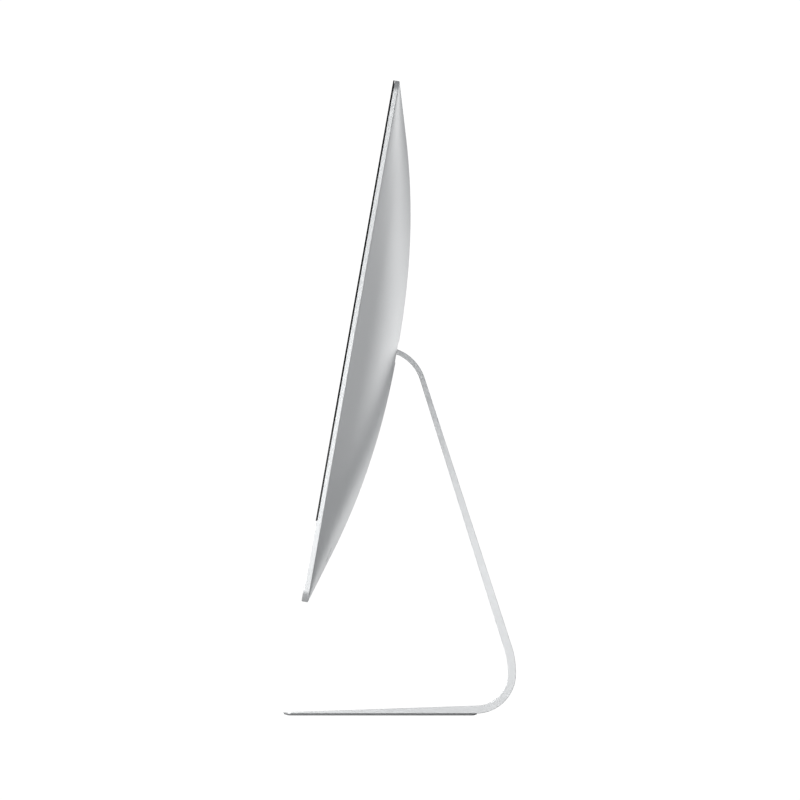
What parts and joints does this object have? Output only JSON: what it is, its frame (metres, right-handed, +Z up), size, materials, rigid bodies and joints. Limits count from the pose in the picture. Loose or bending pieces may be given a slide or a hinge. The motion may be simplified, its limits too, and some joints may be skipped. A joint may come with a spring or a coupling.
{
  "type": "all-in-one desktop computer",
  "caption": "Slim all-in-one computer: glass-fronted slab display with domed metal back, tilting on a bent aluminium plate stand with a lead hole.",
  "frame": {"origin": "centre of the bounding box's underside, on the desk under the foot", "axes": "+X to the user's right along the display's width, -Y towards the user, +Z up"},
  "size_m": [0.528, 0.1659, 0.4527],
  "materials": {
    "aluminium_shell": "satin bead-blasted",
    "cover_glass": "gloss",
    "display_black": "gloss",
    "adhesive": "matte",
    "steel_sheet": "satin",
    "board_green": "matte",
    "chip_grey": "matte",
    "plastic_black": "matte",
    "plastic_cream": "matte",
    "copper": "satin",
    "fin_aluminium": "satin",
    "contact_brass": "satin",
    "steel_dark": "satin",
    "steel_bright": "satin",
    "rubber_black": "matte",
    "cable_black": "matte"
  },
  "bodies": {
    "stand": {"stand": "aluminium_shell", "foot_pad": "rubber_black", "hinge_shaft": "steel_bright", "hinge_barrel": "steel_dark", "barrel_screws": "steel_dark", "friction_washers": "steel_dark", "shaft_nuts": "steel_dark"},
    "display": {"rear_shell": "aluminium_shell", "front_glass": "cover_glass", "glass_bond": "adhesive", "lcd_cell": "display_black", "backlight_unit": "steel_sheet", "camera_module": "display_black", "microphones": "contact_brass", "antenna_window": "display_black", "antennas": "contact_brass", "wireless_card": "board_green", "logic_board": "board_green", "processor": "chip_grey", "graphics_chip": "chip_grey", "memory_sockets": "plastic_cream", "memory_modules": "board_green", "coin_cell": "steel_bright", "heat_spreader": "copper", "heat_pipe": "copper", "fin_stack": "fin_aluminium", "exhaust_duct": "plastic_black", "fan_base": "plastic_black", "fan_cover": "steel_sheet", "fan_stator": "copper", "supply_board": "board_green", "supply_transformer": "copper", "supply_capacitors": "fin_aluminium", "supply_tray": "plastic_black", "power_inlet": "plastic_black", "inlet_pins": "contact_brass", "audio_jack": "plastic_black", "card_slot": "steel_sheet", "wide_sockets": "steel_sheet", "small_sockets": "steel_sheet", "network_socket": "steel_sheet", "socket_tongues": "plastic_black", "storage_drive": "plastic_black", "drive_bumpers": "rubber_black", "speaker_left": "plastic_black", "speaker_right": "plastic_black", "speaker_drivers": "plastic_black", "power_switch": "plastic_black", "hinge_bracket_left": "steel_sheet", "hinge_bracket_right": "steel_sheet", "hinge_screws": "steel_dark", "board_screws": "steel_dark", "fan_screws": "steel_dark", "display_cable": "cable_black", "supply_cable": "cable_black", "speaker_cables": "cable_black", "antenna_cables": "cable_black"},
    "rotor": {"fan_impeller": "plastic_black", "fan_shaft": "steel_bright"},
    "button": {"power_button": "fin_aluminium"}
  },
  "joints": [
    {"name": "display_tilt", "type": "hinge", "parent": "stand", "child": "display", "pos_m": [0, -0.01701, 0.26499], "axis": [-1, 0, 0], "range_deg": [-15, 15]},
    {"name": "fan_spin", "type": "hinge", "parent": "display", "child": "rotor", "pos_m": [0, -0.03647, 0.18515], "axis": [0, 0.9848, -0.1736], "continuous": true},
    {"name": "power_press", "type": "slide", "parent": "display", "child": "button", "axis": [0, -0.9848, 0.1736], "range_m": [0, 0.001], "stiffness_N_per_m": 600, "springref_m": -0.001}
  ]
}
